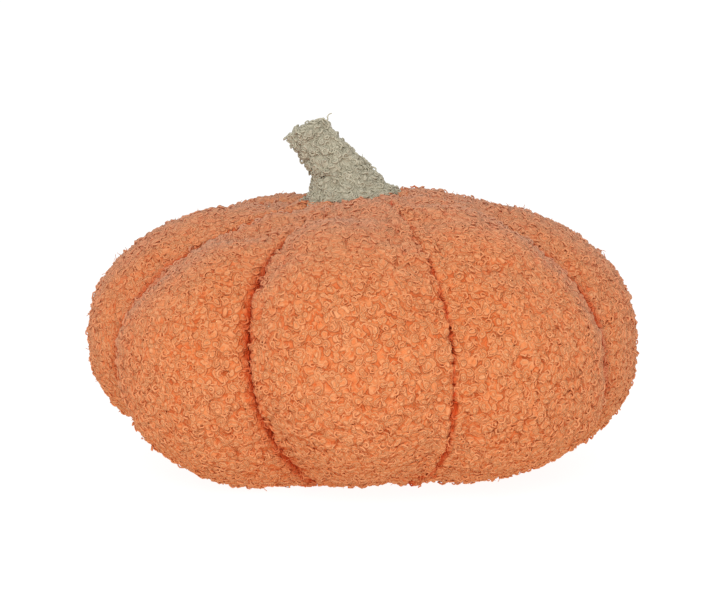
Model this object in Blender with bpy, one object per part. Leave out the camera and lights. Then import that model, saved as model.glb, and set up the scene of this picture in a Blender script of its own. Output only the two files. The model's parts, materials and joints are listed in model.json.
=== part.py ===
"""A stuffed fabric pumpkin: eight gores of looped-pile cloth sewn edge to edge, and a stuffed cloth stem.

Metres, +Z up. The origin lies on the surface that the pumpkin rests on, under the middle of its box.
-Y is the front. Each gore is one filled wedge with a crowned outer face, drawn in at its two seams.
"""

import math
from collections import namedtuple

import bmesh
import bpy
from mathutils import Vector

MM = 0.001

# Seams between the gores. azimuth_deg is counted from the front, anticlockwise seen from above.
# sway_deg turns the seam that much further round at the top and back again at the bottom.
# depth_mm is how far the stitching draws the cloth in at the belly.
Seam = namedtuple("Seam", "azimuth_deg sway_deg depth_mm")
SEAMS = (
    Seam(-24.6, -5.0, 19.0),
    Seam(18.5, -1.5, 9.0),
    Seam(63.5, -9.0, 11.0),
    Seam(109.5, 0.5, 13.0),
    Seam(155.0, 1.5, 14.0),
    Seam(199.5, -2.0, 13.0),
    Seam(244.5, 0.5, 14.0),
    Seam(292.0, 9.0, 14.0),
)

# Gore k lies between seam k and seam k + 1.
# reach_mm: belly radius. belly_mm: height of the widest point. crown_mm: height of the crown.
# upper and lower: fullness of the section above and below the belly, 2 for an ellipse.
# sink_mm: how far the rounded underside would reach below the surface that flattens it.
Gore = namedtuple("Gore", "name reach_mm belly_mm crown_mm upper lower sink_mm")
GORES = (
    Gore("gore_front", 150.0, 68.0, 149.0, 2.4, 2.1, 6.0),
    Gore("gore_front_right", 152.5, 64.0, 154.0, 2.3, 2.65, 3.0),
    Gore("gore_right", 149.0, 67.0, 151.5, 2.2, 2.3, 8.0),
    Gore("gore_back_right", 150.0, 66.5, 150.0, 2.4, 2.3, 8.0),
    Gore("gore_back", 149.0, 68.0, 148.5, 2.35, 2.2, 7.0),
    Gore("gore_back_left", 150.0, 68.5, 146.5, 2.4, 2.3, 8.0),
    Gore("gore_left", 149.0, 69.5, 148.0, 2.3, 2.2, 8.0),
    Gore("gore_front_left", 150.0, 71.0, 144.0, 2.15, 2.35, 11.0),
)

# Soft hollows where the stuffing is thin or the seam gathers the cloth.
# across: place between the gore's seams, -1 to 1. down_deg: 0 at the stem, 180 underneath.
# wide and tall_deg: reach of the hollow both ways. lean: how far across it slants, per degree down.
Dent = namedtuple("Dent", "gore across down_deg wide tall_deg lean depth_mm")
DENTS = (
    Dent("gore_front_left", 0.78, 62.0, 0.16, 13.0, 0.003, 4.5),
    Dent("gore_front_right", 0.22, 70.0, 0.20, 14.0, 0.004, 3.0),
    Dent("gore_front", -0.55, 84.0, 0.24, 20.0, 0.006, 1.8),
    Dent("gore_front", 0.62, 112.0, 0.16, 15.0, -0.006, 2.6),
    Dent("gore_left", 0.35, 60.0, 0.24, 16.0, -0.004, 2.8),
    Dent("gore_right", -0.45, 98.0, 0.20, 18.0, 0.004, 3.0),
    Dent("gore_back_right", 0.50, 66.0, 0.20, 15.0, -0.005, 3.2),
    Dent("gore_back", -0.40, 80.0, 0.22, 18.0, 0.004, 2.6),
    Dent("gore_back_left", 0.60, 96.0, 0.18, 16.0, 0.005, 3.4),
)

# Cross-section of the cloth between two seams: 0 at the seams, 1 at the middle.
ROLL_SHAPE = 2.33
ROLL_FULLNESS = 0.60
# The seams draw in less where the gores are narrow.
DRAW_IN_FADE = 1.6
DRAW_IN_START_MM = 30.0
DRAW_IN_FULL_MM = 92.0

# The flat place that the stem is sewn to. It leans up to the right.
SEAT_X_MM = -5.0
SEAT_HEIGHT_MM = 146.5
SEAT_SLOPE = 0.10
SEAT_FLAT_MM = 32.0
SEAT_BLEND_MM = 60.0

# The small hollow underneath, where the points of the gores meet.
NAVEL_HEIGHT_MM = 4.0
NAVEL_FLAT_MM = 8.0
NAVEL_BLEND_MM = 36.0

# Neighbouring gores stay this far apart.
SEAM_GAP_MM = 0.3
# The inner edge of each wedge stands off the axis by this much.
CORE_MM = 0.45

# Steps of the gore's outer face, and samples along its section that space them.
ROWS = 35
COLUMNS = 14
SECTION_SAMPLES = 720

# The stem, from its foot to its tip. x_mm and height_mm are the middle of a section and half_mm its
# half width. tilt_deg turns the section up at its right, square to the stem's bend.
Section = namedtuple("Section", "x_mm height_mm half_mm tilt_deg")
STEM = (
    Section(-5.3, 147.3, 27.2, 5.8),
    Section(-6.3, 149.0, 23.4, 6.5),
    Section(-7.6, 151.6, 20.0, 9.0),
    Section(-9.8, 155.0, 17.7, 14.0),
    Section(-13.7, 160.2, 15.4, 21.0),
    Section(-18.7, 166.4, 13.4, 27.0),
    Section(-23.8, 172.7, 11.9, 29.5),
    Section(-27.7, 177.8, 11.8, 28.0),
    Section(-29.9, 181.0, 12.1, 25.0),
    Section(-30.9, 183.0, 10.8, 24.0),
    Section(-31.5, 184.3, 7.4, 24.0),
)
STEM_TIP_X_MM = -31.8
STEM_TIP_HEIGHT_MM = 185.0
STEM_DEPTH_RATIO = 0.94
STEM_SIDES = 28
STEM_FOOT_GAP_MM = 0.4
# Five shallow gathers run up the stem from its sewn foot and die out part of the way up.
STEM_GATHERS = 5
STEM_GATHER_MM = 1.1
STEM_GATHER_REACH = 0.62

CLOTH_ROUGHNESS = 0.95
ORANGE = (0.79, 0.27, 0.11)
SAGE = (0.36, 0.34, 0.25)
SMOOTH_BELOW_DEG = 40.0


def clear_scene():
    for old in list(bpy.data.objects):
        bpy.data.objects.remove(old, do_unlink=True)


def cloth(name, colour):
    made = bpy.data.materials.new(name)
    made.use_nodes = True
    shader = made.node_tree.nodes["Principled BSDF"]
    shader.inputs["Base Color"].default_value = (*colour, 1.0)
    shader.inputs["Roughness"].default_value = CLOTH_ROUGHNESS
    shader.inputs["Metallic"].default_value = 0.0
    return made


def ease(value, start, end):
    """0 up to start, 1 from end on, and a smooth step between them."""
    share = min(max((value - start) / (end - start), 0.0), 1.0)
    return share * share * (3.0 - 2.0 * share)


def blend(first, second, share):
    return first + (second - first) * share


def mean_gore(*gores):
    sizes = [sum(values) / len(gores) for values in zip(*(gore[1:] for gore in gores))]
    return Gore("", *sizes)


def crest(down, gore):
    """Radius and height, in mm, of the gore's middle line. down is 0 at the stem and pi underneath."""
    sine, cosine = math.sin(down), math.cos(down)
    fullness = gore.upper if cosine > 0.0 else gore.lower
    radius = gore.reach_mm * max(sine, 0.0) ** (2.0 / fullness)
    rise = abs(cosine) ** (2.0 / fullness)
    if cosine > 0.0:
        return radius, gore.belly_mm + (gore.crown_mm - gore.belly_mm) * rise
    return radius, gore.belly_mm - (gore.belly_mm + gore.sink_mm) * rise


def seam_line(down, seam, gore):
    """Radius and height of a seam, drawn in from the mean section of the gores on its two sides."""
    radius, height = crest(down, gore)
    depth = seam.depth_mm * (radius / gore.reach_mm) ** DRAW_IN_FADE
    depth *= ease(radius, DRAW_IN_START_MM, DRAW_IN_FULL_MM)
    return radius - math.sin(down) * depth, height - math.cos(down) * depth


def seam_azimuth(down, seam):
    return math.radians(seam.azimuth_deg + seam.sway_deg * math.cos(down))


def dent_depth(name, across, down):
    depth = 0.0
    for dent in DENTS:
        if dent.gore != name:
            continue
        below = math.degrees(down) - dent.down_deg
        aside = across - dent.across - dent.lean * below
        depth += dent.depth_mm * math.exp(-((aside / dent.wide) ** 2) - (below / dent.tall_deg) ** 2)
    return depth


def settled(x, y, height, upper):
    """The height once the stem's seat, or the hollow underneath, has levelled the middle."""
    if upper:
        seat = SEAT_HEIGHT_MM + SEAT_SLOPE * x
        return blend(seat, height, ease(math.hypot(x - SEAT_X_MM, y), SEAT_FLAT_MM, SEAT_BLEND_MM))
    return blend(NAVEL_HEIGHT_MM, height, ease(math.hypot(x, y), NAVEL_FLAT_MM, NAVEL_BLEND_MM))


def outer_point(number, across, down):
    """A point of a gore's outer face, in mm. across is -1 at its first seam and 1 at the next."""
    gore = GORES[number]
    following = (number + 1) % len(SEAMS)
    first, last = SEAMS[number], SEAMS[following]
    start = seam_azimuth(down, first)
    end = seam_azimuth(down, last)
    if end < start:
        end += 2.0 * math.pi
    if across < 0.0:
        radius, height = seam_line(down, first, mean_gore(GORES[number - 1], gore))
    else:
        radius, height = seam_line(down, last, mean_gore(gore, GORES[following]))
    crest_radius, crest_height = crest(down, gore)
    roll = max(1.0 - abs(across) ** ROLL_SHAPE, 0.0) ** ROLL_FULLNESS
    dent = dent_depth(gore.name, across, down) * roll
    radius = blend(radius, crest_radius, roll) - math.sin(down) * dent
    height = blend(height, crest_height, roll) - math.cos(down) * dent
    clearance = SEAM_GAP_MM / 2.0 / max(radius, SEAM_GAP_MM)
    azimuth = blend(start + clearance, end - clearance, (across + 1.0) / 2.0)
    x = radius * math.sin(azimuth)
    y = -radius * math.cos(azimuth)
    # The cloth lies flat where it would reach below the surface.
    return Vector((x, y, max(settled(x, y, height, down < math.pi / 2.0), 0.0)))


def row_angles():
    """Angles down the section that space the rows evenly along the cloth."""
    mean = mean_gore(*GORES)
    angles = [math.pi * i / SECTION_SAMPLES for i in range(SECTION_SAMPLES + 1)]
    lengths = [0.0]
    for upper, lower in zip(angles, angles[1:]):
        lengths.append(lengths[-1] + math.dist(crest(upper, mean), crest(lower, mean)))
    rows = []
    sample = 0
    for row in range(1, ROWS):
        while lengths[sample] < lengths[-1] * row / ROWS:
            sample += 1
        rows.append(angles[sample])
    return rows


def add_object(name, builder, material):
    mesh = bpy.data.meshes.new(name)
    bmesh.ops.recalc_face_normals(builder, faces=builder.faces)
    if builder.calc_volume(signed=True) < 0.0:
        bmesh.ops.reverse_faces(builder, faces=builder.faces)
    bmesh.ops.scale(builder, vec=(MM, MM, MM), verts=builder.verts)
    builder.to_mesh(mesh)
    builder.free()
    mesh.materials.append(material)
    mesh.shade_smooth()
    mesh.set_sharp_from_angle(angle=math.radians(SMOOTH_BELOW_DEG))
    made = bpy.data.objects.new(name, mesh)
    bpy.context.scene.collection.objects.link(made)
    return made


def make_gore(number, rows, material):
    """A filled wedge: its crowned outer face, and two walls that run in from the seams to the axis."""
    gore = GORES[number]
    # Columns crowd towards the seams, where the cloth turns in.
    across = [math.sin(math.pi / 2.0 * (2.0 * i / COLUMNS - 1.0)) for i in range(COLUMNS + 1)]
    following = SEAMS[(number + 1) % len(SEAMS)]
    turn = (following.azimuth_deg - SEAMS[number].azimuth_deg) % 360.0
    middle = math.radians(SEAMS[number].azimuth_deg + turn / 2.0)
    core = Vector((CORE_MM * math.sin(middle), -CORE_MM * math.cos(middle)))

    builder = bmesh.new()
    faces = [[builder.verts.new(outer_point(number, a, down)) for a in across] for down in rows]
    seat = SEAT_HEIGHT_MM + SEAT_SLOPE * core.x
    heights = [blend(NAVEL_HEIGHT_MM, seat, (1.0 + math.cos(down)) / 2.0) for down in rows]
    inner = [builder.verts.new((core.x, core.y, height)) for height in heights]
    top = builder.verts.new((core.x, core.y, seat))
    bottom = builder.verts.new((core.x, core.y, NAVEL_HEIGHT_MM))

    for upper, lower in zip(faces, faces[1:]):
        for i in range(COLUMNS):
            builder.faces.new((upper[i], upper[i + 1], lower[i + 1], lower[i]))
    for i in range(COLUMNS):
        builder.faces.new((top, faces[0][i + 1], faces[0][i]))
        builder.faces.new((bottom, faces[-1][i], faces[-1][i + 1]))
    # Both walls use the same diagonals, so that neighbouring gores keep an even gap.
    for side in (0, -1):
        builder.faces.new((top, faces[0][side], inner[0]))
        builder.faces.new((bottom, faces[-1][side], inner[-1]))
        for k in range(len(rows) - 1):
            builder.faces.new((faces[k][side], faces[k + 1][side], inner[k + 1]))
            builder.faces.new((faces[k][side], inner[k + 1], inner[k]))
    return add_object(gore.name, builder, material)


def stem_ring(builder, section, share):
    """One section of the stem. share is 0 at the foot and 1 at the tip."""
    tilt = math.radians(section.tilt_deg)
    aside = Vector((math.cos(tilt), 0.0, math.sin(tilt)))
    gather = STEM_GATHER_MM * math.sin(math.pi * min(share / STEM_GATHER_REACH, 1.0))
    ring = []
    for i in range(STEM_SIDES):
        angle = 2.0 * math.pi * i / STEM_SIDES
        half = section.half_mm - gather * (1.0 + math.cos(STEM_GATHERS * angle)) / 2.0
        place = Vector((section.x_mm, 0.0, section.height_mm))
        place += aside * half * math.cos(angle)
        place.y += half * STEM_DEPTH_RATIO * math.sin(angle)
        ring.append(builder.verts.new(place))
    return ring


def make_stem(material):
    """The stem: its spread foot lies on the seat, and its closed tip leans to the left."""
    builder = bmesh.new()
    last = len(STEM) - 1
    rings = [stem_ring(builder, section, i / last) for i, section in enumerate(STEM)]
    # The foot's underside is level with the seat, a stitch above it.
    foot = []
    for vertex in rings[0]:
        seat = SEAT_HEIGHT_MM + SEAT_SLOPE * vertex.co.x
        foot.append(builder.verts.new((vertex.co.x, vertex.co.y, seat + STEM_FOOT_GAP_MM)))
    builder.faces.new(foot)
    for lower, upper in zip([foot] + rings, rings):
        for i in range(STEM_SIDES):
            j = (i + 1) % STEM_SIDES
            builder.faces.new((lower[i], lower[j], upper[j], upper[i]))
    tip = builder.verts.new((STEM_TIP_X_MM, 0.0, STEM_TIP_HEIGHT_MM))
    for i in range(STEM_SIDES):
        builder.faces.new((rings[-1][i], rings[-1][(i + 1) % STEM_SIDES], tip))
    return add_object("stem", builder, material)


def centre_on_origin(objects):
    """Moves the meshes so that the middle of their common box lies over the origin."""
    corners = [vertex.co for made in objects for vertex in made.data.vertices]
    middle_x = (min(c.x for c in corners) + max(c.x for c in corners)) / 2.0
    middle_y = (min(c.y for c in corners) + max(c.y for c in corners)) / 2.0
    for made in objects:
        for vertex in made.data.vertices:
            vertex.co.x -= middle_x
            vertex.co.y -= middle_y


def main():
    clear_scene()
    orange_cloth = cloth("orange_boucle", ORANGE)
    sage_cloth = cloth("sage_boucle", SAGE)
    rows = row_angles()
    pieces = [make_gore(number, rows, orange_cloth) for number in range(len(GORES))]
    pieces.append(make_stem(sage_cloth))
    centre_on_origin(pieces)


main()
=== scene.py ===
# %% [markdown]
# # A stuffed pumpkin of looped-pile cloth
#
# The real thing is eight gores of orange bouclé, sewn edge to edge and stuffed, with a bent
# stem of sage bouclé sewn on top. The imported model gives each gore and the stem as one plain
# solid at its true size. This script dresses them: it pads each solid as cloth, and then grows
# a pile of small yarn curls on it, because the curls are what the eye sees first.

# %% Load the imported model
import json
import math

import bpy
import numpy as np
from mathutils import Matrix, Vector, noise
from mathutils.bvhtree import BVHTree

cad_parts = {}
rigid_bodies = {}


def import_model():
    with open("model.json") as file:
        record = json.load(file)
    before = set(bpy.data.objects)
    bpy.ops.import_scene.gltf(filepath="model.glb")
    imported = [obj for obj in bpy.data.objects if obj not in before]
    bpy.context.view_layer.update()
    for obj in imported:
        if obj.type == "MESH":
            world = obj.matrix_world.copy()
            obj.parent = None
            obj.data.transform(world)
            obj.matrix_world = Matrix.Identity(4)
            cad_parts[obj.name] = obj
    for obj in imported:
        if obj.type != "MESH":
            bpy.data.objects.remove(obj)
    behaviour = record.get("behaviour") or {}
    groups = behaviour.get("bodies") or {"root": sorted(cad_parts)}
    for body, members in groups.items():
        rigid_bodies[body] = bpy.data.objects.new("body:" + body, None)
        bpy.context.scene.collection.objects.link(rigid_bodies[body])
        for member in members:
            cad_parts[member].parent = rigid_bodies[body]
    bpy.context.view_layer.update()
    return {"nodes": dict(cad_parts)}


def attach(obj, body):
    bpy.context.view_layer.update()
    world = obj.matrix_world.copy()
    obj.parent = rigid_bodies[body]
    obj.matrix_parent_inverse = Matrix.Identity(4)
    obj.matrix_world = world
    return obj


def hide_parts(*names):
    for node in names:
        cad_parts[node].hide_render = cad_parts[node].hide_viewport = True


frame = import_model()
MM = 0.001
print("nodes:", sorted(frame["nodes"]))

# %% [markdown]
# ## Camera
#
# The photograph was taken with a long lens from a little above the table. The outline and the
# seams of the pumpkin give its place: about 1.4 m away, 8.3 degrees above the pumpkin's middle.
# The camera looks slightly over that middle, because the pumpkin stands low in the picture.

# %% Camera
PHOTO_WIDTH = 725
FOCAL_PIXELS = 2592.0
SENSOR_MM = 36.0
CAMERA_DISTANCE = 1.395
CAMERA_ELEVATION = math.radians(8.31)
CAMERA_DIP = math.radians(7.55)
PUMPKIN_MIDDLE = Vector((0.0003, 0.0005, 0.070))

lens = bpy.data.cameras.new("camera")
lens.sensor_width = SENSOR_MM
lens.lens = FOCAL_PIXELS * SENSOR_MM / PHOTO_WIDTH
camera = bpy.data.objects.new("camera", lens)
camera.location = PUMPKIN_MIDDLE + CAMERA_DISTANCE * Vector(
    (0.0, -math.cos(CAMERA_ELEVATION), math.sin(CAMERA_ELEVATION))
)
camera.rotation_euler = (math.pi / 2.0 - CAMERA_DIP, 0.0, 0.0)
bpy.context.scene.collection.objects.link(camera)
bpy.context.scene.camera = camera
print("lens:", round(lens.lens, 1), "mm")

# %% [markdown]
# ## Floor and light
#
# The photograph is a cut-out on white under very even light. A wide pale floor that glows
# like a light table and a white world give that. One large soft light from the front, above
# the lens, makes the front of each gore lighter than its shoulders, as in the photograph.

# %% Floor
FLOOR_SIZE = 60.0
FLOOR_GREY = 0.20
FLOOR_GLOW = 0.92


def deselect_all():
    for selected in list(bpy.context.selected_objects):
        selected.select_set(False)


def make_active(piece):
    deselect_all()
    piece.select_set(True)
    bpy.context.view_layer.objects.active = piece


deselect_all()
bpy.ops.mesh.primitive_plane_add(size=FLOOR_SIZE, location=(0.0, 0.0, 0.0))
floor = bpy.context.object
floor.name = "floor"
floor_paint = bpy.data.materials.new("pale_floor")
floor_paint.use_nodes = True
floor_shader = floor_paint.node_tree.nodes["Principled BSDF"]
floor_shader.inputs["Base Color"].default_value = (FLOOR_GREY, FLOOR_GREY, FLOOR_GREY, 1.0)
floor_shader.inputs["Roughness"].default_value = 0.9
floor_shader.inputs["Specular IOR Level"].default_value = 0.0
floor_shader.inputs["Emission Color"].default_value = (1.0, 1.0, 1.0, 1.0)
floor_shader.inputs["Emission Strength"].default_value = FLOOR_GLOW
floor.data.materials.append(floor_paint)
print("floor:", FLOOR_SIZE, "m wide")

# %% Light
WORLD_STRENGTH = 0.69
LIGHT_WATTS = 19.5
LIGHT_SIZE = 1.1
LIGHT_PLACE = Vector((-0.12, -1.7, 0.95))

world = bpy.data.worlds.new("white_room")
world.use_nodes = True
world.node_tree.nodes["Background"].inputs["Color"].default_value = (1.0, 1.0, 1.0, 1.0)
world.node_tree.nodes["Background"].inputs["Strength"].default_value = WORLD_STRENGTH
bpy.context.scene.world = world
bpy.context.scene.view_settings.view_transform = "Standard"

lamp = bpy.data.lights.new("front_light", "AREA")
lamp.energy = LIGHT_WATTS
lamp.size = LIGHT_SIZE
front_light = bpy.data.objects.new("front_light", lamp)
front_light.location = LIGHT_PLACE
front_light.rotation_euler = (PUMPKIN_MIDDLE - LIGHT_PLACE).to_track_quat("-Z", "Y").to_euler()
bpy.context.scene.collection.objects.link(front_light)
print("front light:", LIGHT_WATTS, "W,", LIGHT_SIZE, "m wide")

# %% [markdown]
# ## Sums in a material
#
# A material's pattern is a sum of masks and noises. Nodes can do sums, but they are easier to
# read as Python. This class holds one socket, and a sum on it adds the Math node that does it.

# %% A socket that can be used in sums
class Wire:
    def __init__(self, tree, socket=None):
        self.tree = tree
        self.socket = socket

    def node(self, kind, settings=None, inputs=None, output=0):
        """Adds a node. settings are its own values, and inputs are its sockets' values or wires."""
        made = self.tree.nodes.new(kind)
        for key, value in (settings or {}).items():
            if key == "stops":
                while len(made.color_ramp.elements) < len(value):
                    made.color_ramp.elements.new(1.0)
                for element, (position, colour) in zip(made.color_ramp.elements, value):
                    element.position = position
                    element.color = (*colour, 1.0)
            else:
                setattr(made, key, value)
        for key, value in (inputs or {}).items():
            if isinstance(value, Wire):
                self.tree.links.new(value.socket, made.inputs[key])
            else:
                made.inputs[key].default_value = value
        return Wire(self.tree, made.outputs[output])

    def _math(self, operation, first, second):
        return self.node("ShaderNodeMath", {"operation": operation}, {0: first, 1: second})

    def __add__(self, other):
        return self._math("ADD", self, other)

    def __radd__(self, other):
        return self._math("ADD", other, self)

    def __sub__(self, other):
        return self._math("SUBTRACT", self, other)

    def __rsub__(self, other):
        return self._math("SUBTRACT", other, self)

    def __mul__(self, other):
        return self._math("MULTIPLY", self, other)

    def __rmul__(self, other):
        return self._math("MULTIPLY", other, self)

    def to(self, socket):
        self.tree.links.new(self.socket, socket)


print("Wire ready")

# %% [markdown]
# ## Yarn and ground cloth
#
# Bouclé is a ground cloth with curls of fuzzy yarn. Light sinks in between the curls, and there
# the colour is painted darker and deeper as painted shade, and paler on top. Each curl carries
# two attributes: rise is 0 at its root and 1 at its top and drives that painted shade, and tint
# is its own share of dye. The ground carries rest, the place of a point before the relief
# raised it.
#
# Both carry three more. pile is 1 on open cloth and 0 on hidden cloth, which is painted darker
# as shade. seam grows from 0 to 1 towards the bottom of a seam, where the colour goes to a dark
# painted shade. form is the normal of the padded form: where it turns away from the eye, and
# more on top, a pale colour is mixed in as a painted sheen of the fuzz.

# %% Relief of the pile
LUMP = 4.2 * MM
YARN = 1.2 * MM


def lump_relief(place, lump):
    """Round lumps, the thin creases between some of them, and the yarn that is coiled in them."""
    wander = place.node(
        "ShaderNodeTexNoise", {}, {"Vector": place, "Scale": 0.55 / lump, "Detail": 1.0}, output="Color"
    )
    bent = place.node(
        "ShaderNodeVectorMath", {"operation": "MULTIPLY_ADD"},
        {0: wander, 1: (1.4 * lump, 1.4 * lump, 1.4 * lump), 2: place},
    )
    far = place.node(
        "ShaderNodeTexVoronoi", {"feature": "SMOOTH_F1"},
        {"Vector": bent, "Scale": 1.0 / lump, "Smoothness": 0.1}, output="Distance",
    )
    edge = place.node(
        "ShaderNodeTexVoronoi", {"feature": "DISTANCE_TO_EDGE"}, {"Vector": bent, "Scale": 1.0 / lump},
        output="Distance",
    )
    dome = place.node("ShaderNodeMath", {"operation": "MAXIMUM"}, {0: 1.0 - far * far * 1.6, 1: 0.0})
    kink = place.node("ShaderNodeTexNoise", {}, {"Vector": place, "Scale": 0.5 / lump, "Detail": 1.0})
    coil = place.node(
        "ShaderNodeMath", {"operation": "SINE"}, {0: far * (2.0 * math.pi * lump / YARN) + kink * 14.0}
    )
    some = place.node("ShaderNodeTexNoise", {}, {"Vector": bent, "Scale": 0.9 / lump, "Detail": 0.0})
    open_here = place.node("ShaderNodeMath", {"operation": "MAXIMUM"}, {0: (some - 0.36) * 3.2, 1: 0.0})
    line = place.node("ShaderNodeMath", {"operation": "MINIMUM"}, {0: edge * 6.0, 1: 1.0})
    crease = (1.0 - line) * open_here
    return dome, coil, crease


print("lumps:", LUMP / MM, "mm, yarn:", YARN / MM, "mm")

# %% Looped cloth as a material
PATCH_SCALE = 45.0
FIBRE_SCALE = 1150.0
CLOTH_ROUGHNESS = 0.92
CLOTH_GLOSS = 0.03
FIBRE_BUMP = 0.7
FIBRE_DEPTH = 1.0 * MM


def cloth_material(name, stops, seam_shade_colour, sheen_colour, by_curl):
    """Looped cloth. stops go from the dark colour at the root, which is painted shade, to the pale top of
    the yarn.
    """
    material = bpy.data.materials.new(name)
    material.use_nodes = True
    tree = material.node_tree
    shader = tree.nodes["Principled BSDF"]
    start = Wire(tree)
    place = start.node("ShaderNodeTexCoord", output="Object")
    patches = start.node(
        "ShaderNodeTexNoise", {}, {"Vector": place, "Scale": PATCH_SCALE, "Detail": 2.0}
    )
    fibres = start.node(
        "ShaderNodeTexNoise", {}, {"Vector": place, "Scale": FIBRE_SCALE, "Detail": 2.0}
    )
    open_cloth = start.node("ShaderNodeAttribute", {"attribute_name": "pile"}, output="Fac")
    by_seam = start.node("ShaderNodeAttribute", {"attribute_name": "seam"}, output="Fac")
    form = start.node("ShaderNodeAttribute", {"attribute_name": "form"}, output="Vector")
    facing_up = start.node("ShaderNodeSeparateXYZ", {}, {"Vector": form}, output="Z")
    form = start.node(
        "ShaderNodeVectorTransform",
        {"vector_type": "NORMAL", "convert_from": "OBJECT", "convert_to": "WORLD"}, {"Vector": form},
    )
    aside = start.node("ShaderNodeLayerWeight", {}, {"Blend": 0.5, "Normal": form}, output="Facing")
    # Painted sheen: a pale colour is mixed in where the form turns away from the eye, more on top where
    # light falls from above, and less in seams.
    sheen = aside * aside * (facing_up * 0.62 + 0.46) * (1.0 - by_seam * 0.4)
    if by_curl:
        rise = start.node("ShaderNodeAttribute", {"attribute_name": "rise"}, output="Fac")
        tint = start.node("ShaderNodeAttribute", {"attribute_name": "tint"}, output="Fac")
        # Painted shade: the curl is darker towards its root by rise. tint is its own random share of dye.
        depth = rise * 0.34 + tint * 0.20 + 0.26
        height = fibres * 0.35
    else:
        rest = start.node("ShaderNodeAttribute", {"attribute_name": "rest"}, output="Vector")
        dome, coil, crease = lump_relief(rest, LUMP)
        # Painted shade: lumps are lighter on top and darker in their creases, and hidden cloth, where pile
        # is 0, is darker.
        depth = dome * 0.26 + coil * 0.22 - crease * 0.36 + (fibres - 0.5) * 0.25 + open_cloth * 0.20 + 0.12
        height = dome * 0.6 + coil * 0.55 - crease * 0.15 + fibres * 0.35
    # Painted shade: towards the bottom of a seam the colour is darker, and then goes to a dark shade
    # colour.
    depth = depth - by_seam * 0.25 + (patches - 0.5) * 0.22 + (fibres - 0.5) * 0.30
    colour = start.node("ShaderNodeValToRGB", {"stops": stops}, {"Fac": depth})
    shaded = start.node(
        "ShaderNodeMix", {"data_type": "RGBA"},
        {0: by_seam * by_seam * 0.92, 6: colour, 7: (*seam_shade_colour, 1.0)}, output=2,
    )
    sheened = start.node(
        "ShaderNodeMix", {"data_type": "RGBA"}, {0: sheen, 6: shaded, 7: (*sheen_colour, 1.0)}, output=2
    )
    sheened.to(shader.inputs["Base Color"])
    bump = start.node(
        "ShaderNodeBump", {}, {"Height": height, "Strength": FIBRE_BUMP, "Distance": FIBRE_DEPTH}
    )
    bump.to(shader.inputs["Normal"])
    shader.inputs["Roughness"].default_value = CLOTH_ROUGHNESS
    shader.inputs["Specular IOR Level"].default_value = CLOTH_GLOSS
    return material


print("bump of the fibres:", FIBRE_DEPTH / MM, "mm")

# %% Dyes, with painted shade and painted sheen
# Each stop is a place on the way from the root of the yarn to its top, and the colour there: darker towards
# the root as painted shade.
ORANGE_STOPS = (
    (0.0, (0.70, 0.160, 0.044)),
    (0.30, (0.745, 0.238, 0.084)),
    (0.65, (0.765, 0.308, 0.133)),
    (1.0, (0.795, 0.372, 0.178)),
)
SAGE_STOPS = (
    (0.0, (0.385, 0.350, 0.254)),
    (0.30, (0.450, 0.412, 0.304)),
    (0.65, (0.51, 0.472, 0.357)),
    (1.0, (0.585, 0.545, 0.418)),
)
# The colours of the painted shade at the bottom of a seam.
ORANGE_SEAM_SHADE = (0.56, 0.045, 0.007)
SAGE_SEAM_SHADE = (0.25, 0.22, 0.14)
# The pale colours of the painted sheen of the fuzz.
ORANGE_SHEEN = (0.64, 0.325, 0.205)
SAGE_SHEEN = (0.54, 0.505, 0.40)

orange_yarn = cloth_material("orange_yarn", ORANGE_STOPS, ORANGE_SEAM_SHADE, ORANGE_SHEEN, by_curl=True)
orange_ground = cloth_material("orange_ground", ORANGE_STOPS, ORANGE_SEAM_SHADE, ORANGE_SHEEN, by_curl=False)
sage_yarn = cloth_material("sage_yarn", SAGE_STOPS, SAGE_SEAM_SHADE, SAGE_SHEEN, by_curl=True)
sage_ground = cloth_material("sage_ground", SAGE_STOPS, SAGE_SEAM_SHADE, SAGE_SHEEN, by_curl=False)
print("materials:", [m.name for m in (orange_yarn, orange_ground, sage_yarn, sage_ground)])

# %% [markdown]
# ## Curls of yarn
#
# A curl could be a curve with a thick line, but thousands of them have to stay light. So each
# pattern curl is a four-sided tube, made by spinning a small square round an axis. A few
# patterns are enough: rings, hooks, wide arcs and one loose end. Every copy gets its own turn,
# tilt and size, and no two neighbours look alike.

# %% Reading and writing points
def read_points(mesh):
    flat = np.empty(len(mesh.vertices) * 3, dtype=np.float32)
    mesh.vertices.foreach_get("co", flat)
    return flat.reshape(-1, 3).astype(float)


def write_points(mesh, points):
    mesh.vertices.foreach_set("co", points.astype(np.float32).ravel())
    mesh.update()


def read_normals(mesh):
    flat = np.empty(len(mesh.vertices) * 3, dtype=np.float32)
    mesh.vertex_normals.foreach_get("vector", flat)
    return flat.reshape(-1, 3).astype(float)


print("point tools ready")

# %% Pattern curls
patterns = bpy.data.collections.new("pattern_curls")
bpy.context.scene.collection.children.link(patterns)
SIDES = 4


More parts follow.
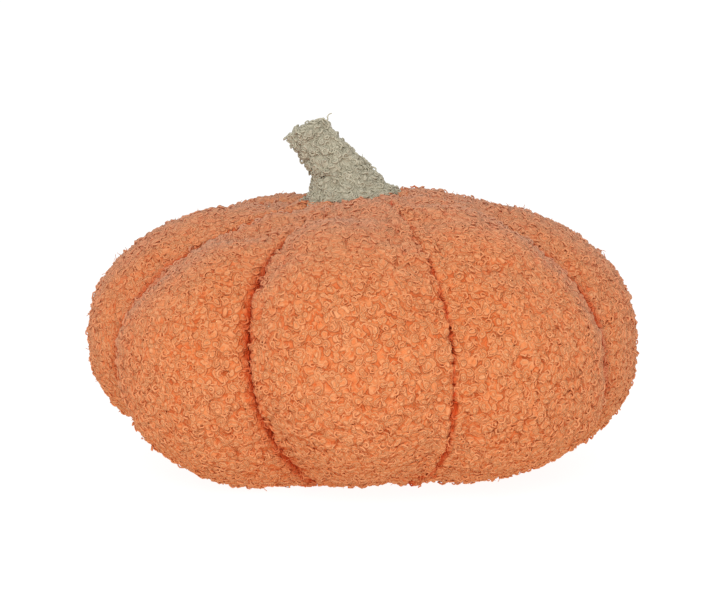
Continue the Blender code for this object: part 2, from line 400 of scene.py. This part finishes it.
def spin_curl(name, radius, thickness, turn_deg, steps, arch, sink, loose, material):
    """A yarn tube round the Z axis. It rises by arch, and its ends dip by sink, or one is loose."""
    deselect_all()
    bpy.ops.mesh.primitive_circle_add(
        vertices=SIDES, radius=thickness, location=(radius, 0.0, 0.0), rotation=(math.pi / 2.0, 0.0, 0.0)
    )
    curl = bpy.context.object
    curl.name = name
    bpy.ops.object.transform_apply(location=True, rotation=True, scale=True)
    bpy.ops.object.mode_set(mode="EDIT")
    bpy.ops.mesh.select_all(action="SELECT")
    bpy.ops.mesh.spin(
        steps=steps, angle=math.radians(turn_deg), center=(0.0, 0.0, 0.0), axis=(0.0, 0.0, 1.0)
    )
    bpy.ops.mesh.select_all(action="SELECT")
    bpy.ops.mesh.remove_doubles(threshold=1e-6)
    bpy.ops.mesh.fill_holes(sides=SIDES)
    bpy.ops.mesh.normals_make_consistent(inside=False)
    bpy.ops.object.mode_set(mode="OBJECT")
    rings = read_points(curl.data).reshape(-1, SIDES, 3)
    along = np.arange(len(rings)) / (len(rings) - 1)
    if loose:
        middles = rings.mean(axis=1, keepdims=True)
        rings = middles + (rings - middles) * (1.0 - 0.6 * along)[:, None, None]
        lift = along ** 1.5
    else:
        lift = np.sin(math.pi * along)
    wobble = 1.0 + 0.2 * np.sin(1.9 * np.arange(len(rings)) + radius / MM)
    rings[:, :, 0] *= wobble[:, None]
    rings[:, :, 1] *= 2.0 - wobble[:, None]
    rings[:, :, 2] += ((arch + sink) * lift - sink)[:, None]
    write_points(curl.data, rings.reshape(-1, 3))
    curl.data.shade_smooth()
    curl.data.materials.append(material)
    # rise drives the painted shade that darkens the curl towards its root.
    rise = curl.data.attributes.new("rise", "FLOAT", "POINT")
    rise.data.foreach_set("value", np.clip(rings[:, :, 2] / rings[:, :, 2].max(), 0.0, 1.0).ravel())
    return curl


# Radius and thickness in mm, turn in degrees, steps, arch and sink in mm, and a loose end or not.
CURL_SHAPES = (
    (1.15, 0.46, 315.0, 7, 0.36, 0.35, False),
    (1.60, 0.48, 225.0, 6, 0.42, 0.42, False),
    (1.30, 0.50, 275.0, 6, 0.40, 0.40, False),
    (2.10, 0.47, 150.0, 5, 0.42, 0.45, False),
    (1.45, 0.50, 235.0, 6, 0.48, 0.42, False),
    (1.85, 0.48, 180.0, 5, 0.40, 0.42, False),
    (2.50, 0.46, 105.0, 4, 0.42, 0.45, False),
    (1.90, 0.36, 95.0, 4, 1.60, 0.45, True),
)


def pattern_curls(colour_name, material):
    group = bpy.data.collections.new(colour_name + "_curls")
    patterns.children.link(group)
    for number, (radius, thick, turn, steps, arch, sink, loose) in enumerate(CURL_SHAPES):
        curl = spin_curl(
            f"{colour_name}_curl_{number}", radius * MM, thick * MM, turn, steps, arch * MM, sink * MM,
            loose, material,
        )
        for holder in list(curl.users_collection):
            holder.objects.unlink(curl)
        group.objects.link(curl)
        print(curl.name, "faces:", len(curl.data.polygons))
    return group


orange_curls = pattern_curls("orange", orange_yarn)
sage_curls = pattern_curls("sage", sage_yarn)

# %% [markdown]
# ## Padding a gore
#
# Each gore's solid is copied and remeshed as an even net, drawn in a little, and then blown up
# as cloth with its hidden walls pinned. The pressure rounds the cloth between the seams in the
# way filling does, and the seams stay sharp valleys. The movement is capped, so the outline
# stays the one that was measured.

# %% Padding tools
GORES = (
    "gore_front", "gore_front_right", "gore_right", "gore_back_right",
    "gore_back", "gore_back_left", "gore_left", "gore_front_left",
)
VOXEL = 4.5 * MM
MERGE = 0.00001
SIM_FRAMES = 20
# The cloth may grow by this share while it is blown up.
GROWTH = 0.04


def solid_tree(name):
    mesh = frame["nodes"][name].data
    return BVHTree.FromPolygons([v.co for v in mesh.vertices], [p.vertices for p in mesh.polygons])


solid_trees = {name: solid_tree(name) for name in GORES + ("stem",)}


def nearest_gap(points, names):
    """How far each point is from the nearest of the named solids."""
    return np.array([min(solid_trees[n].find_nearest(Vector(p))[3] for n in names) for p in points])


def apply_modifier(piece, kind, **settings):
    modifier = piece.modifiers.new(kind.lower(), kind)
    for key, value in settings.items():
        setattr(modifier, key, value)
    make_active(piece)
    bpy.ops.object.modifier_apply(modifier=modifier.name)


def even_copy(node_name, name, voxel):
    """A closed copy of a solid with an even net of faces."""
    mesh = frame["nodes"][node_name].data.copy()
    piece = bpy.data.objects.new(name, mesh)
    bpy.context.scene.collection.objects.link(piece)
    make_active(piece)
    bpy.ops.object.mode_set(mode="EDIT")
    bpy.ops.mesh.select_all(action="SELECT")
    bpy.ops.mesh.remove_doubles(threshold=MERGE)
    bpy.ops.object.mode_set(mode="OBJECT")
    apply_modifier(piece, "REMESH", mode="VOXEL", voxel_size=voxel)
    return piece


def blow_up(piece, pinned, pressure, cap):
    """Runs the cloth with its pinned points held, and caps how far the others move."""
    start = read_points(piece.data)
    pins = piece.vertex_groups.new(name="pins")
    for index in np.nonzero(pinned)[0]:
        pins.add([int(index)], 1.0, "REPLACE")
    cloth = piece.modifiers.new("cloth", "CLOTH")
    cloth.settings.use_pressure = True
    cloth.settings.uniform_pressure_force = pressure
    cloth.settings.effector_weights.gravity = 0.0
    cloth.settings.vertex_group_mass = "pins"
    cloth.settings.shrink_min = -GROWTH
    cloth.point_cache.frame_end = SIM_FRAMES
    for number in range(1, SIM_FRAMES + 1):
        bpy.context.scene.frame_set(number)
    evaluated = piece.evaluated_get(bpy.context.evaluated_depsgraph_get())
    moved = read_points(evaluated.data) - start
    piece.modifiers.remove(cloth)
    bpy.context.scene.frame_set(1)
    far = np.linalg.norm(moved, axis=1, keepdims=True)
    write_points(piece.data, start + moved * np.minimum(1.0, cap / np.maximum(far, 1e-9)))
    return float(far.max())


print("voxel:", VOXEL / MM, "mm, frames:", SIM_FRAMES)

# %% [markdown]
# ## Growing the pile
#
# In the real cloth the curls are part of the weave. Here they are scattered with Geometry
# Nodes: points are dealt out on the cloth at an even spacing, a random pattern curl is set on
# each, and the copies are made real. A particle system could do it too, but its hairs would
# not become one mesh so simply.

# %% Scattering the curls
def pile_nodes(name, curls, spacing, tilt, seed):
    tree = bpy.data.node_groups.new(name, "GeometryNodeTree")
    tree.interface.new_socket("Cloth", in_out="INPUT", socket_type="NodeSocketGeometry")
    tree.interface.new_socket("Pile", in_out="OUTPUT", socket_type="NodeSocketGeometry")
    start = Wire(tree)
    cloth = start.node("NodeGroupInput")
    mask = start.node("GeometryNodeInputNamedAttribute", {"data_type": "FLOAT"}, {"Name": "pile"})
    deal = tree.nodes.new("GeometryNodeDistributePointsOnFaces")
    deal.distribute_method = "POISSON"
    cloth.to(deal.inputs["Mesh"])
    mask.to(deal.inputs["Density Factor"])
    deal.inputs["Distance Min"].default_value = spacing
    deal.inputs["Density Max"].default_value = 3.2 / spacing ** 2
    deal.inputs["Seed"].default_value = seed
    points = Wire(tree, deal.outputs["Points"])
    upright = start.node(
        "FunctionNodeAlignRotationToVector", {"axis": "Z"}, {"Vector": Wire(tree, deal.outputs["Normal"])}
    )
    turn = start.node(
        "FunctionNodeRandomValue", {"data_type": "FLOAT_VECTOR"},
        {"Min": (-tilt, -tilt, 0.0), "Max": (tilt, tilt, 2.0 * math.pi), "Seed": seed + 1},
    )
    turned = start.node(
        "FunctionNodeRotateRotation", {"rotation_space": "LOCAL"},
        {"Rotation": upright, "Rotate By": turn},
    )
    size = start.node(
        "FunctionNodeRandomValue", {"data_type": "FLOAT"}, {2: 0.8, 3: 1.2, "Seed": seed + 2}, output=1
    )
    pick = start.node(
        "FunctionNodeRandomValue", {"data_type": "INT"}, {4: 0, 5: len(CURL_SHAPES) - 1, "Seed": seed + 3},
        output=2,
    )
    tint = start.node(
        "FunctionNodeRandomValue", {"data_type": "FLOAT"}, {2: 0.0, 3: 1.0, "Seed": seed + 4}, output=1
    )
    kinds = start.node(
        "GeometryNodeCollectionInfo", {}, {"Collection": curls, "Separate Children": True}
    )
    placed = start.node(
        "GeometryNodeInstanceOnPoints", {},
        {"Points": points, "Instance": kinds, "Pick Instance": True, "Instance Index": pick,
         "Rotation": turned, "Scale": size},
    )
    dyed = start.node(
        "GeometryNodeStoreNamedAttribute", {"data_type": "FLOAT", "domain": "INSTANCE"},
        {"Geometry": placed, "Name": "tint", "Value": tint},
    )
    real = start.node("GeometryNodeRealizeInstances", {}, {"Geometry": dyed})
    out = tree.nodes.new("NodeGroupOutput")
    real.to(out.inputs["Pile"])
    return tree


def rest_on_floor(piece):
    """The cloth and its pile are pressed flat where the pumpkin rests."""
    points = read_points(piece.data)
    points[:, 2] = np.maximum(points[:, 2], 0.0)
    write_points(piece.data, points)


def grow_pile(padded, name, curls, spacing, tilt, seed):
    """A new piece with the pile of a padded one."""
    pile = bpy.data.objects.new(name, padded.data.copy())
    bpy.context.scene.collection.objects.link(pile)
    modifier = pile.modifiers.new("pile", "NODES")
    modifier.node_group = pile_nodes(name + "_nodes", curls, spacing, tilt, seed)
    make_active(pile)
    bpy.ops.object.modifier_apply(modifier=modifier.name)
    rest_on_floor(pile)
    return pile


print("curls to pick from:", len(CURL_SHAPES))

# %% [markdown]
# ## Where the pile shows
#
# A mask keeps the pile off the hidden walls, where two gores are sewn together, and from under
# the stem. Its edge wanders, because curls lean over a seam here and there, and near the crown
# the pile closes over the seams. The seam on the right of the front gore is the tightest one.

# %% Mask of the pile
# Gaps to the next solid where the pile starts, where it is full and where the painted shade of the seam
# ends.
OPEN_SEAM = (0.5 * MM, 1.2 * MM, 7.5 * MM)
TIGHT_SEAM = (-1.0 * MM, -0.1 * MM, 2.6 * MM)
FOOT_SEAM = (0.1 * MM, 0.4 * MM, 0.8 * MM)
TIGHT_PAIR = {"gore_front", "gore_front_right"}
# Towards this height the pile closes over the seams, but for a last share of them.
CROWN_CLOSED = 0.137
CROWN_FADE = 22.0 * MM
CROWN_OPEN = 0.15
# The gaps wander by this much, over this length.
RAGGED = 0.9 * MM
RAGGED_SIZE = 6.0 * MM
NORMAL_ROUNDS = 16
# The pumpkin's round form, and how far a normal has to look out of it to carry pile.
ROUND_MIDDLE = np.array([0.0, 0.0, 0.070])
ROUND_HALF = np.array([0.150, 0.150, 0.075])
PILE_STARTS = 0.2
PILE_FADE = 0.25


def subdivide(piece):
    apply_modifier(piece, "SUBSURF", levels=1, render_levels=1)


def outward(points, normals):
    """How far each normal looks out of the pumpkin's round form: 1 straight out, 0 along a wall."""
    out = (points - ROUND_MIDDLE) / ROUND_HALF ** 2
    out /= np.linalg.norm(out, axis=1, keepdims=True)
    return (out * normals).sum(axis=1)


def smooth_normals(mesh, normals, weights):
    """The normals of the padded form without its small dents, from the open cloth alone."""
    ends = np.empty(len(mesh.edges) * 2, dtype=np.int32)
    mesh.edges.foreach_get("vertices", ends)
    first, second = ends.reshape(-1, 2).T
    mean = normals * weights[:, None]
    for _ in range(NORMAL_ROUNDS):
        total = mean.copy()
        np.add.at(total, first, mean[second])
        np.add.at(total, second, mean[first])
        mean = total / 5.0
    return mean / np.linalg.norm(mean, axis=1, keepdims=True)


def store(mesh, name, values):
    made = mesh.attributes.new(name, "FLOAT", "POINT")
    made.data.foreach_set("value", values.astype(np.float32))


def mask_pile(padded, neighbours, is_gore):
    """Subdivides, and writes pile (0 on hidden cloth, 1 on open cloth), seam and form.

    neighbours gives, for each one, the gaps where the pile starts and is full, and where the
    painted shade of the seam ends.
    """
    points = read_points(padded.data)
    normals = read_normals(padded.data)
    share = np.ones(len(points))
    seam = np.zeros(len(points))
    ragged = np.array([noise.noise(Vector(p) / RAGGED_SIZE) for p in points]) * RAGGED
    closing = np.clip((CROWN_CLOSED - points[:, 2]) / CROWN_FADE, CROWN_OPEN, 1.0)
    for name, (near, clear, shade) in neighbours.items():
        gap = nearest_gap(points, (name,))
        if is_gore and name != "stem":
            gap = (gap + ragged) / closing
        share = np.minimum(share, np.clip((gap - near) / (clear - near), 0.0, 1.0))
        # seam carries the painted shade towards the bottom of a seam.
        seam = np.maximum(seam, np.clip(1.0 - gap / shade, 0.0, 1.0))
    if is_gore:
        share *= np.clip((outward(points, normals) - PILE_STARTS) / PILE_FADE, 0.0, 1.0)
    form_normals = smooth_normals(padded.data, normals, share + 0.02)
    store(padded.data, "pile", share)
    store(padded.data, "seam", seam)
    form = padded.data.attributes.new("form", "FLOAT_VECTOR", "POINT")
    form.data.foreach_set("vector", form_normals.astype(np.float32).ravel())
    subdivide(padded)
    share = np.empty(len(padded.data.vertices), dtype=np.float32)
    padded.data.attributes["pile"].data.foreach_get("value", share)
    return share


print("open seam:", [round(gap / MM, 1) for gap in OPEN_SEAM], "mm")

# %% [markdown]
# ## Lumps in the cloth
#
# Between the curls the ground cloth shows, and it is lumpy too. A displacement texture could
# raise it, but the lumps have to sit where the material paints them. So Geometry Nodes raise
# the mesh by the same sums that the material uses.

# %% Relief and hidden walls
WALLS_THINNED = 0.95


def relief_nodes(name, lump, height):
    tree = bpy.data.node_groups.new(name, "GeometryNodeTree")
    tree.interface.new_socket("Cloth", in_out="INPUT", socket_type="NodeSocketGeometry")
    tree.interface.new_socket("Relief", in_out="OUTPUT", socket_type="NodeSocketGeometry")
    start = Wire(tree)
    cloth = start.node("NodeGroupInput")
    place = start.node("GeometryNodeInputPosition")
    normal = start.node("GeometryNodeInputNormal")
    mask = start.node("GeometryNodeInputNamedAttribute", {"data_type": "FLOAT"}, {"Name": "pile"})
    kept = start.node(
        "GeometryNodeStoreNamedAttribute", {"data_type": "FLOAT_VECTOR", "domain": "POINT"},
        {"Geometry": cloth, "Name": "rest", "Value": place},
    )
    dome, coil, crease = lump_relief(place, lump)
    rise = (dome + coil * 0.08 - crease * 0.3 - 0.55) * mask * height
    offset = start.node("ShaderNodeVectorMath", {"operation": "SCALE"}, {0: normal, "Scale": rise})
    moved = start.node("GeometryNodeSetPosition", {}, {"Geometry": kept, "Offset": offset})
    out = tree.nodes.new("NodeGroupOutput")
    moved.to(out.inputs["Relief"])
    return tree


def raise_lumps(padded, lump, height):
    modifier = padded.modifiers.new("relief", "NODES")
    modifier.node_group = relief_nodes(padded.name + "_relief", lump, height)
    make_active(padded)
    bpy.ops.object.modifier_apply(modifier=modifier.name)


def thin_walls(padded, walls):
    """Makes the hidden walls of few large faces: about a twentieth of the faces they had."""
    mesh = padded.data
    corners = np.empty(len(mesh.loops), dtype=np.int32)
    mesh.loops.foreach_get("vertex_index", corners)
    hidden = np.count_nonzero(walls[corners.reshape(-1, 4)].all(axis=1)) / len(mesh.polygons)
    group = padded.vertex_groups.new(name="walls")
    group.add([int(index) for index in np.nonzero(walls)[0]], 1.0, "REPLACE")
    apply_modifier(
        padded, "DECIMATE", ratio=1.0 - WALLS_THINNED * hidden, vertex_group="walls",
        vertex_group_factor=10.0,
    )


def triangles(mesh):
    return sum(len(p.vertices) - 2 for p in mesh.polygons)


print("hidden walls lose", WALLS_THINNED, "of their faces")

# %% [markdown]
# ## The eight gores
#
# Every gore goes through the same steps: even copy, drawn in to make room for its pile, blown
# up, smoothed, dressed. How much less its top and its underside are drawn in comes from the
# outline in the photograph. The hidden walls are pressed a little into each other.

# %% Gores
DRAWN_IN = 4.2 * MM
# Cloth that faces straight up or straight down is drawn in by these shares less.
LESS_UP = {"gore_right": 0.55, "gore_back_right": 0.30, "gore_left": 0.45, "gore_back_left": 0.60}
LESS_DOWN = {"gore_front": 0.56, "gore_right": 0.70, "gore_front_left": 0.25, "gore_front_right": 0.0}
LESS_UP_ELSEWHERE = 0.42
LESS_DOWN_ELSEWHERE = 0.12
# The two gores of the tight seam are pressed together this far.
TIGHT_PRESS = 1.25 * MM
TIGHT_REACH = 6.0 * MM
WALL_PRESS = 0.4 * MM
# Cloth nearer than this to the next solid is a hidden wall, and the change to open cloth is soft.
WALL_GAP = 1.8 * MM
WALL_FADE = 6.0 * MM
PRESSURE = 4.0
CAP = 3.0 * MM
FACES_KEPT = 0.82
SPACING = 3.3 * MM
TILT = 0.18
LUMP_HEIGHT = 2.3 * MM

total = 0
for number, gore in enumerate(GORES):
    neighbours = (GORES[number - 1], GORES[(number + 1) % len(GORES)], "stem")
    padded = even_copy(gore, gore + "_cloth", VOXEL)
    points = read_points(padded.data)
    gap = nearest_gap(points, neighbours)
    normals = read_normals(padded.data)
    free = np.clip((gap - WALL_GAP) / WALL_FADE, 0.0, 1.0)
    up = np.maximum(normals[:, 2], 0.0) * LESS_UP.get(gore, LESS_UP_ELSEWHERE)
    down = np.maximum(-normals[:, 2], 0.0) * LESS_DOWN.get(gore, LESS_DOWN_ELSEWHERE)
    inward = DRAWN_IN * free * (1.0 - up - down) - WALL_PRESS * (1.0 - free)
    if gore in TIGHT_PAIR:
        tight = nearest_gap(points, TIGHT_PAIR - {gore})
        inward -= TIGHT_PRESS * np.clip(1.0 - tight / TIGHT_REACH, 0.0, 1.0)
    write_points(padded.data, points - normals * inward[:, None])
    far = blow_up(padded, gap < WALL_GAP, PRESSURE, CAP)
    print(gore, "cloth moved", round(far / MM, 1), "mm")
    subdivide(padded)
    seams = {other: TIGHT_SEAM if {gore, other} == TIGHT_PAIR else OPEN_SEAM for other in neighbours}
    seams["stem"] = FOOT_SEAM
    share = mask_pile(padded, seams, True)
    padded.data.shade_smooth()
    padded.data.materials.clear()
    padded.data.materials.append(orange_ground)
    raise_lumps(padded, LUMP, LUMP_HEIGHT)
    thin_walls(padded, share < 0.01)
    apply_modifier(padded, "DECIMATE", ratio=FACES_KEPT)
    rest_on_floor(padded)
    pile = grow_pile(padded, gore + "_pile", orange_curls, SPACING, TILT, 10 * number)
    for piece in (padded, pile):
        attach(piece, "root")
        total += triangles(piece.data)
        print(piece.name, "triangles:", triangles(piece.data))
    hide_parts(gore)

# %% [markdown]
# ## The stem
#
# The stem is a stuffed tube of the same kind of cloth in sage, so it is dressed the same way. It
# is stuffed too firmly to be blown up.

# %% Stem cloth
STEM_VOXEL = 2.5 * MM
# It is drawn in by this much above its foot, but its right side stands a little proud.
STEM_DRAWN_IN = 1.0 * MM
STEM_PROUD = 2.2
STEM_FADE = 9.0 * MM
# The foot settles into the pile of the crown.
FOOT_TOP = 0.156
FOOT_FADE = 8.0 * MM
FOOT_DROP = 2.4 * MM
FOOT_SPREAD = 0.06
FOOT_MIDDLE = np.array([-0.005, 0.0])
STEM_SPACING = 2.9 * MM
STEM_TILT = 0.25
STEM_SEED = 200

stem = even_copy("stem", "stem_cloth", STEM_VOXEL)
points = read_points(stem.data)
gap = nearest_gap(points, GORES)
normals = read_normals(stem.data)
proud = 1.0 - STEM_PROUD * np.maximum(normals[:, 0], 0.0)
inward = STEM_DRAWN_IN * proud * np.clip(gap / STEM_FADE - 0.4, 0.0, 1.0)
points -= normals * inward[:, None]
low = np.clip((FOOT_TOP - points[:, 2]) / FOOT_FADE, 0.0, 1.0)
points[:, 2] -= FOOT_DROP * low
points[:, :2] += (points[:, :2] - FOOT_MIDDLE) * (FOOT_SPREAD * low)[:, None]
write_points(stem.data, points)
mask_pile(stem, {gore: FOOT_SEAM for gore in GORES}, False)
stem.data.shade_smooth()
stem.data.materials.clear()
stem.data.materials.append(sage_ground)
raise_lumps(stem, LUMP, LUMP_HEIGHT)
stem_pile = grow_pile(stem, "stem_pile", sage_curls, STEM_SPACING, STEM_TILT, STEM_SEED)
print("stem pile spacing:", round(STEM_SPACING / MM, 1), "mm")

# %% [markdown]
# ## Frayed yarns
#
# Two yarns have worked loose at the stem's tip: an end that sticks up on the right, and a loop
# beside it. They could be edges with a Skin modifier, but a curve bends more smoothly. So each
# is a curve through a few points, and then made a mesh tube.

# %% Frayed yarns
FRAYED_END = (
    (-27.0, -4.0, 182.5), (-24.0, -4.5, 186.0), (-21.4, -4.5, 187.4), (-19.4, -4.0, 186.6),
    (-17.9, -4.0, 187.0), (-18.4, -4.0, 189.0), (-17.5, -4.0, 190.2), (-16.0, -4.0, 190.5),
)
FRAYED_LOOP = (
    (-27.0, -5.0, 183.0), (-25.0, -5.0, 187.0), (-22.3, -5.5, 188.2), (-20.1, -5.5, 187.6),
    (-18.2, -5.0, 186.2), (-17.2, -5.0, 184.0), (-18.4, -5.0, 182.4), (-20.4, -5.0, 182.0),
)
FRAYED_YARN = 0.34 * MM
# The loose yarns take the painted shade of a curl high up, so they stay light.
FRAYED_RISE = 0.8
FRAYED_TINT = 0.5


def yarn_end(name, route, thickness, material):
    """A yarn through the points of route, in mm, as a mesh tube."""
    deselect_all()
    bpy.ops.curve.primitive_nurbs_path_add(location=(0.0, 0.0, 0.0))
    yarn = bpy.context.object
    yarn.name = name
    spline = yarn.data.splines[0]
    spline.points.add(len(route) - len(spline.points))
    for point, place in zip(spline.points, route):
        point.co = (*(value * MM for value in place), 1.0)
    spline.order_u = 4
    spline.use_endpoint_u = True
    spline.resolution_u = 3
    yarn.data.bevel_depth = thickness
    yarn.data.bevel_resolution = 1
    yarn.data.use_fill_caps = True
    make_active(yarn)
    bpy.ops.object.convert(target="MESH")
    yarn.data.materials.clear()
    yarn.data.materials.append(material)
    yarn.data.shade_smooth()
    store(yarn.data, "rise", np.full(len(yarn.data.vertices), FRAYED_RISE))
    store(yarn.data, "tint", np.full(len(yarn.data.vertices), FRAYED_TINT))
    return yarn


frayed_end = yarn_end("stem_frayed_end", FRAYED_END, FRAYED_YARN, sage_yarn)
frayed_loop = yarn_end("stem_frayed_loop", FRAYED_LOOP, FRAYED_YARN, sage_yarn)
for piece in (stem, stem_pile, frayed_end, frayed_loop):
    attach(piece, "root")
    total += triangles(piece.data)
    print(piece.name, "triangles:", triangles(piece.data))
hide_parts("stem")
print("all pieces:", total, "triangles")

# %% [markdown]
# ## Clearing up
#
# The pattern curls have done their work and go.

# %% Finish
for curl in list(orange_curls.objects) + list(sage_curls.objects):
    bpy.data.objects.remove(curl, do_unlink=True)
